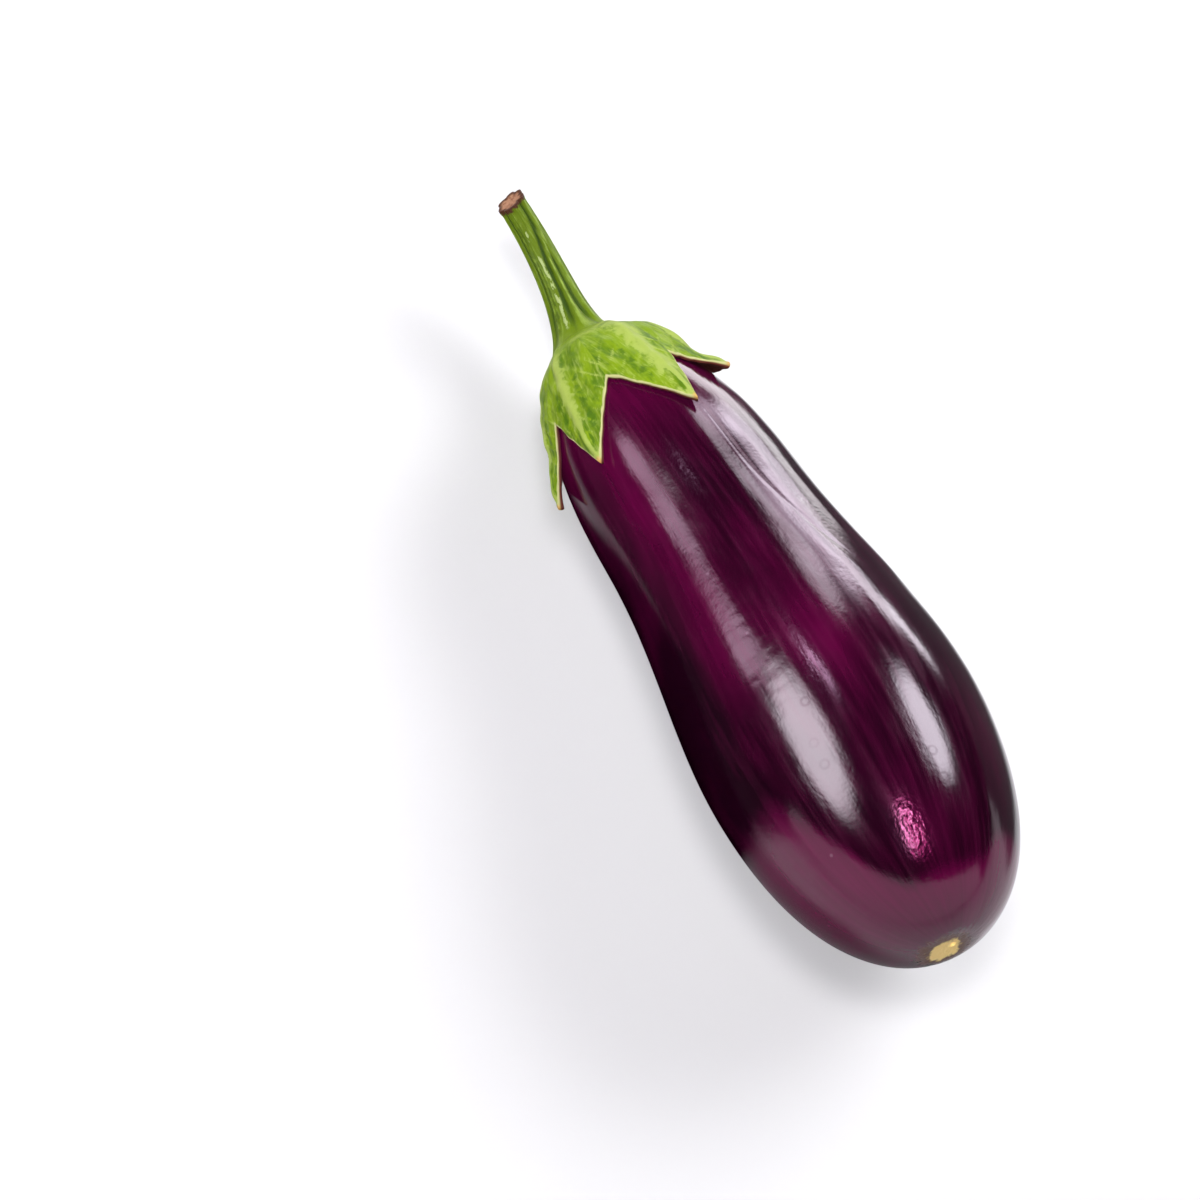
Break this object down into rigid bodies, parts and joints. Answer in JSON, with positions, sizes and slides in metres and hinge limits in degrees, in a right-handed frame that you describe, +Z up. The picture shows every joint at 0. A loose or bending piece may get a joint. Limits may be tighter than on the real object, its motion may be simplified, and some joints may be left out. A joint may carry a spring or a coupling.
{
  "type": "eggplant",
  "caption": "Glossy dark purple eggplant lying on its side, with a pear-like swell, a green lobed calyx, a curved ribbed stem and a small blossom scar.",
  "frame": {"origin": "middle of the flat resting spot under the belly, on the surface that the eggplant lies on", "axes": "+X from the stem end towards the blossom end, +Z up from the surface, +Y to the left when looking along +X"},
  "size_m": [0.2791, 0.0814, 0.0814],
  "materials": {
    "skin": "smooth waxy gloss, deep purple to near black, with faint lengthwise streaks",
    "calyx_flesh": "satin fresh green with veins and pale margins",
    "stem_flesh": "satin green with lengthwise ribs, brown and dry at the cut"
  },
  "bodies": {
    "root": {"fruit": "skin", "calyx": "calyx_flesh", "stem": "stem_flesh"}
  },
  "joints": []
}
